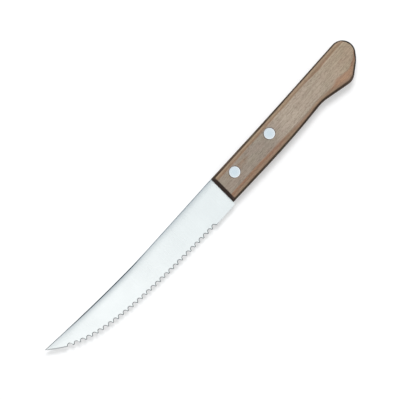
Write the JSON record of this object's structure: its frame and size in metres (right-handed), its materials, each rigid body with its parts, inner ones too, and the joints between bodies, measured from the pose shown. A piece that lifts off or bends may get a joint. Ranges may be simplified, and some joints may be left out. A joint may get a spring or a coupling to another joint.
{
  "type": "steak knife",
  "caption": "Table knife with a serrated steel blade, an upswept tip and a riveted laminated wood handle with a humped rear end.",
  "frame": {"origin": "middle of the knife's length and width, on the plane of the handle's right face, on which the knife lies", "axes": "+X along the knife's back towards the blade's tip, +Y across the flat of the blade towards its cutting edge, +Z out of the handle's left face, which is the face up"},
  "size_m": [0.219, 0.0242, 0.012],
  "materials": {
    "blade_steel": "fine ground stainless steel with a satin sheen",
    "laminated_wood": "resin-bonded laminated hardwood, smooth and low sheen",
    "rivet_steel": "polished flush rivet head"
  },
  "bodies": {
    "root": {"blade": "blade_steel", "handle": "laminated_wood", "front_rivet_cap": "rivet_steel", "front_rivet_stud": "rivet_steel", "rear_rivet_cap": "rivet_steel", "rear_rivet_stud": "rivet_steel"}
  },
  "joints": []
}
